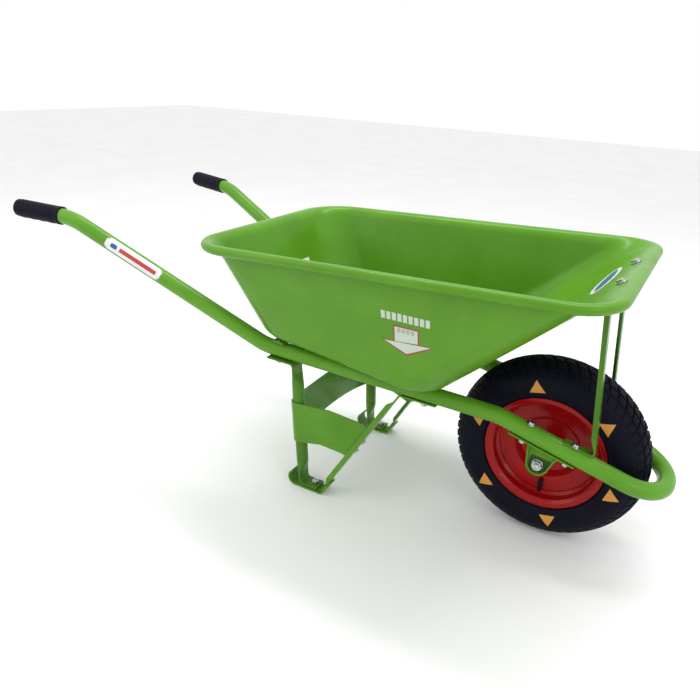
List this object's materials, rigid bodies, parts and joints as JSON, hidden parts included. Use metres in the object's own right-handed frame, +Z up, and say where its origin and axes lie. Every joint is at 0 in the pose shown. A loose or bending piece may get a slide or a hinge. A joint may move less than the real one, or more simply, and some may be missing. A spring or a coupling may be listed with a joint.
{
  "type": "wheelbarrow",
  "caption": "Builder's wheelbarrow: deep pressed tray on a bent tube frame that runs round one pneumatic wheel, with braced legs, shoes and ribbed grips.",
  "frame": {"origin": "middle of the barrow's length and width, on the ground", "axes": "+X forward towards the wheel, +Y to the left of a person pushing it, +Z up"},
  "size_m": [1.3566, 0.5888, 0.5509],
  "materials": {
    "frame_paint": "gloss enamel",
    "tray_paint": "gloss enamel",
    "strap_paint": "gloss enamel",
    "leg_paint": "gloss enamel",
    "post_paint": "gloss enamel",
    "bracket_paint": "gloss enamel",
    "wheel_paint": "gloss enamel",
    "grip_rubber": "moulded, matt",
    "tyre_rubber": "moulded rubber",
    "tube_rubber": "moulded rubber",
    "zinc": "bright zinc plate",
    "axle_steel": "bright zinc plate",
    "bearing_steel": "ground steel"
  },
  "bodies": {
    "barrow": {"axle": "axle_steel", "axle_bracket_bolt_front_left": "zinc", "axle_bracket_bolt_front_right": "zinc", "axle_bracket_bolt_rear_left": "zinc", "axle_bracket_bolt_rear_right": "zinc", "axle_bracket_left": "bracket_paint", "axle_bracket_nut_front_left": "zinc", "axle_bracket_nut_front_right": "zinc", "axle_bracket_nut_rear_left": "zinc", "axle_bracket_nut_rear_right": "zinc", "axle_bracket_right": "bracket_paint", "axle_nut_left": "zinc", "axle_nut_right": "zinc", "axle_spacer_left": "zinc", "axle_spacer_right": "zinc", "brace_bolt_lower_left": "zinc", "brace_bolt_lower_right": "zinc", "brace_bolt_upper_left": "zinc", "brace_bolt_upper_right": "zinc", "frame_bolt_front_left": "zinc", "frame_bolt_front_right": "zinc", "frame_bolt_rear_left": "zinc", "frame_bolt_rear_right": "zinc", "frame_tube": "frame_paint", "front_post_left": "post_paint", "front_post_right": "post_paint", "grip_left": "grip_rubber", "grip_right": "grip_rubber", "leg_brace": "leg_paint", "leg_left": "leg_paint", "leg_right": "leg_paint", "leg_stay_left": "leg_paint", "leg_stay_right": "leg_paint", "lip_bolt_left": "zinc", "lip_bolt_right": "zinc", "lip_nut_left": "zinc", "lip_nut_right": "zinc", "shoe_bolt_left": "zinc", "shoe_bolt_right": "zinc", "shoe_left": "leg_paint", "shoe_nut_left": "zinc", "shoe_nut_right": "zinc", "shoe_right": "leg_paint", "tray": "tray_paint", "tray_bolt_front_left": "zinc", "tray_bolt_front_right": "zinc", "tray_bolt_rear_left": "zinc", "tray_bolt_rear_right": "zinc", "tray_strap_front": "strap_paint", "tray_strap_rear": "strap_paint"},
    "wheel": {"tyre": "tyre_rubber", "rim": "wheel_paint", "hub": "wheel_paint", "bearing_left": "bearing_steel", "bearing_right": "bearing_steel", "inner_tube": "tube_rubber", "valve_stem": "tube_rubber", "valve_cap": "tube_rubber"}
  },
  "joints": [
    {"name": "wheel_spin", "type": "hinge", "parent": "barrow", "child": "wheel", "pos_m": [0.45291, 0, 0.1825], "axis": [0, 1, 0], "continuous": true}
  ]
}
